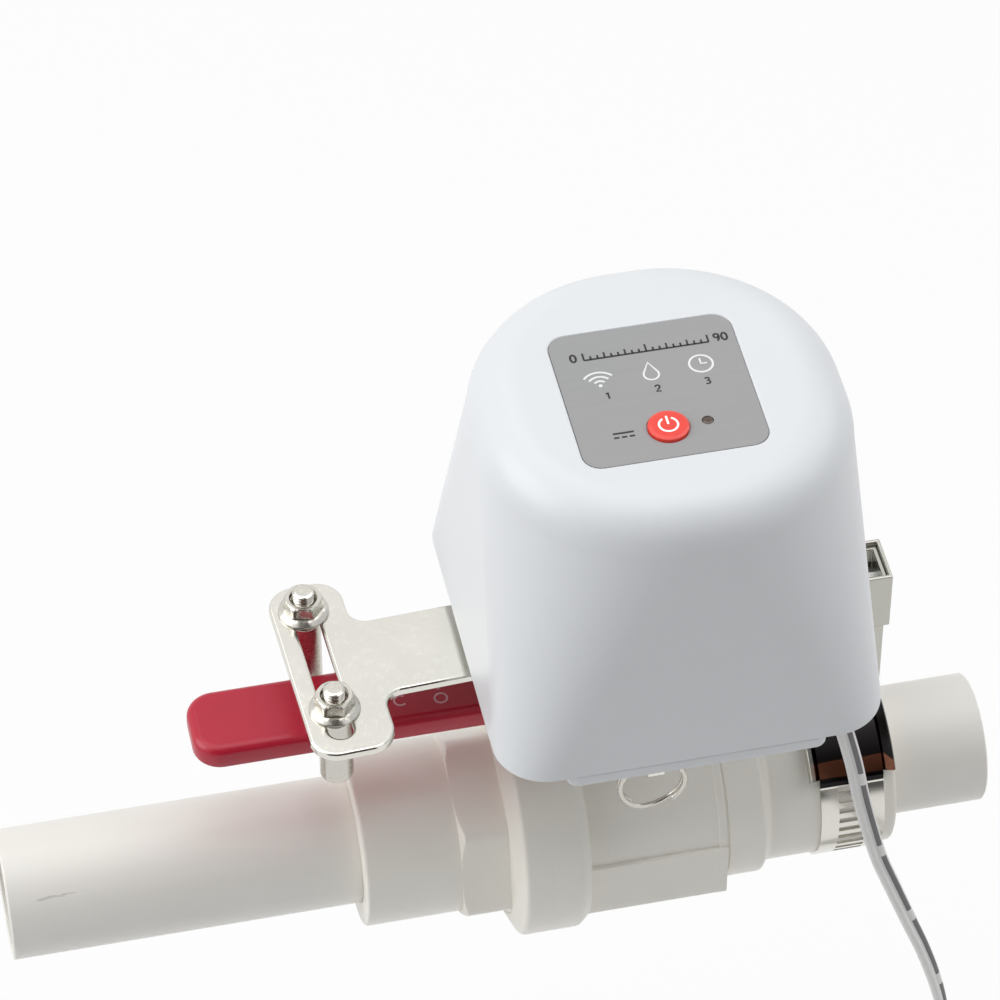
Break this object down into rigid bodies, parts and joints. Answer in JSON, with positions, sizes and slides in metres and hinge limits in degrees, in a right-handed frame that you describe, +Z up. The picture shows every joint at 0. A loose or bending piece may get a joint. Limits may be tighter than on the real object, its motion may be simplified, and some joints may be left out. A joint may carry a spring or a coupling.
{
  "type": "smart water valve controller on ball valve",
  "caption": "Motorised controller clamped to a plastic ball valve: a drafted housing whose arm and posts swing the valve's lever through a quarter turn.",
  "frame": {"origin": "centre of the inlet pipe's open end, on the pipe's axis", "axes": "+X along the pipe from inlet to outlet, +Y to the back of the controller, +Z up along the stem"},
  "size_m": [0.2575, 0.0926, 0.301],
  "materials": {
    "pvc": "smooth moulded",
    "pipe": "extruded",
    "white_abs": "satin moulded",
    "label": "satin film",
    "red_vinyl": "glossy dip",
    "button_red": "glossy",
    "nickel": "bright nickel",
    "steel": "zinc plated",
    "rubber": "matte",
    "ptfe": "smooth",
    "brass": "turned",
    "nylon": "moulded",
    "black_plastic": "satin",
    "board": "solder mask",
    "lens": "smoked",
    "cord": "soft vinyl"
  },
  "bodies": {
    "valve_and_housing": {"inlet_pipe": "pipe", "outlet_pipe": "pipe", "end_connector": "pvc", "valve_body": "pvc", "body_seal": "rubber", "ball_seats": "ptfe", "gland_nut": "pvc", "limit_switches": "black_plastic", "base_bush": "brass", "plate_bush": "brass", "gear_plate": "steel", "gear_plate_screws": "steel", "gear_motor": "steel", "motor_screws": "steel", "clutch_spring": "steel", "base_plate": "white_abs", "housing_cover": "white_abs", "cover_screws": "steel", "label_panel": "label", "status_led": "lens", "circuit_board": "board", "tact_switch": "black_plastic", "board_screws": "steel", "cable_grommet": "white_abs", "bracket": "nickel", "bracket_screws": "steel", "saddle_leg": "nickel", "leg_screw": "steel", "leg_nut": "steel", "clamp_band": "steel", "clamp_housing": "steel", "power_cord": "cord", "cord_coil": "cord", "cord_tie": "rubber", "dc_socket": "black_plastic"},
    "lever_and_ball": {"valve_stem": "steel", "valve_ball": "nylon", "stem_seals": "rubber", "lever_bar": "steel", "lever_grip": "red_vinyl", "lever_nut": "steel"},
    "arm": {"arm_plate": "nickel", "arm_washer": "nickel", "arm_screw": "steel", "drive_posts": "nickel", "flange_nuts": "nickel", "output_shaft": "steel", "output_gear": "nylon", "limit_cam": "black_plastic"},
    "coupler": {"motor_coupler": "steel"},
    "clutch": {"clutch_pin": "nickel"},
    "pinion": {"drive_pinion": "steel"},
    "ring": {"pull_ring": "nickel"},
    "button": {"power_button": "button_red"},
    "worm": {"clamp_screw": "steel"}
  },
  "joints": [
    {"name": "valve_turn", "type": "hinge", "parent": "valve_and_housing", "child": "lever_and_ball", "pos_m": [0.16, 0, 0], "axis": [0, 0, 1], "range_deg": [-90, 0]},
    {"name": "arm_turn", "type": "hinge", "parent": "valve_and_housing", "child": "arm", "pos_m": [0.16, 0, 0], "axis": [0, 0, 1], "range_deg": [-90, 0]},
    {"name": "motor_spin", "type": "hinge", "parent": "valve_and_housing", "child": "coupler", "pos_m": [0.15304, -0.0343, 0], "axis": [0, 0, 1], "range_deg": [-5, 335]},
    {"name": "clutch_pull", "type": "slide", "parent": "valve_and_housing", "child": "clutch", "axis": [0, 0, -1], "range_m": [0, 0.005], "stiffness_N_per_m": 400, "springref_m": -0.006, "deforming": ["clutch_spring"]},
    {"name": "pinion_spin", "type": "hinge", "parent": "clutch", "child": "pinion", "pos_m": [0.15304, -0.0343, 0], "axis": [0, 0, 1], "range_deg": [-5, 335]},
    {"name": "ring_swing", "type": "hinge", "parent": "clutch", "child": "ring", "pos_m": [0.15304, -0.0343, 0.051], "axis": [1, 0, 0], "range_deg": [-60, 60]},
    {"name": "button_press", "type": "slide", "parent": "valve_and_housing", "child": "button", "axis": [0, 0, -1], "range_m": [0, 0.0005], "stiffness_N_per_m": 1500, "springref_m": -0.0005},
    {"name": "clamp_screw_turn", "type": "hinge", "parent": "valve_and_housing", "child": "worm", "pos_m": [0.2076, 0.01517, -0.02167], "axis": [0, 0.8192, 0.5736], "continuous": true}
  ],
  "couplings": [
    {"joint": "arm_turn", "follows": "valve_turn", "ratio": 1},
    {"joint": "pinion_spin", "follows": "valve_turn", "ratio": -3.6667},
    {"joint": "motor_spin", "follows": "valve_turn", "ratio": -3.6667}
  ]
}
